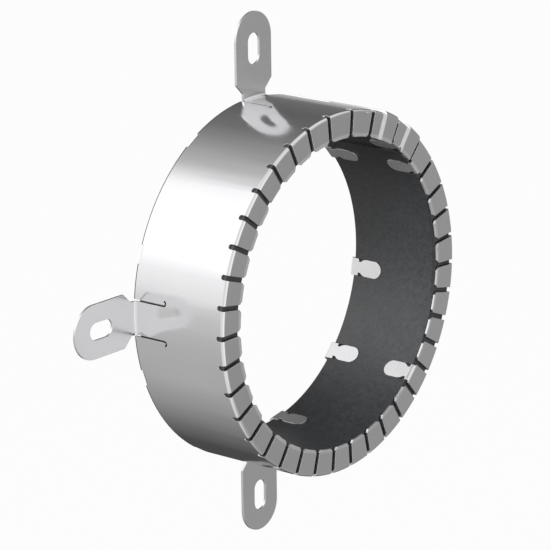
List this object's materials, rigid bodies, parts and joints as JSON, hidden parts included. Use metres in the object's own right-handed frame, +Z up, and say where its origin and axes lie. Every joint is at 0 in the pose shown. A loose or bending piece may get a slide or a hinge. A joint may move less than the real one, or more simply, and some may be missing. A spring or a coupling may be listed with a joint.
{
  "type": "pipe fire collar",
  "caption": "Round folded-steel collar for a plastic pipe, with closing tabs, slotted fixing lugs and an intumescent lining.",
  "frame": {"origin": "on the wall plane, at the middle of the pipe", "axes": "-Y out of the wall towards the tabs, +Z up through a lug, +X to the right as seen from the front"},
  "size_m": [0.2796, 0.059, 0.2796],
  "materials": {
    "polished_steel": "bright rolled stainless sheet, nearly mirror polished",
    "intumescent": "matte dark graphite strip wound in layers"
  },
  "bodies": {
    "root": {"housing": "polished_steel", "intumescent_liner": "intumescent"}
  },
  "joints": []
}
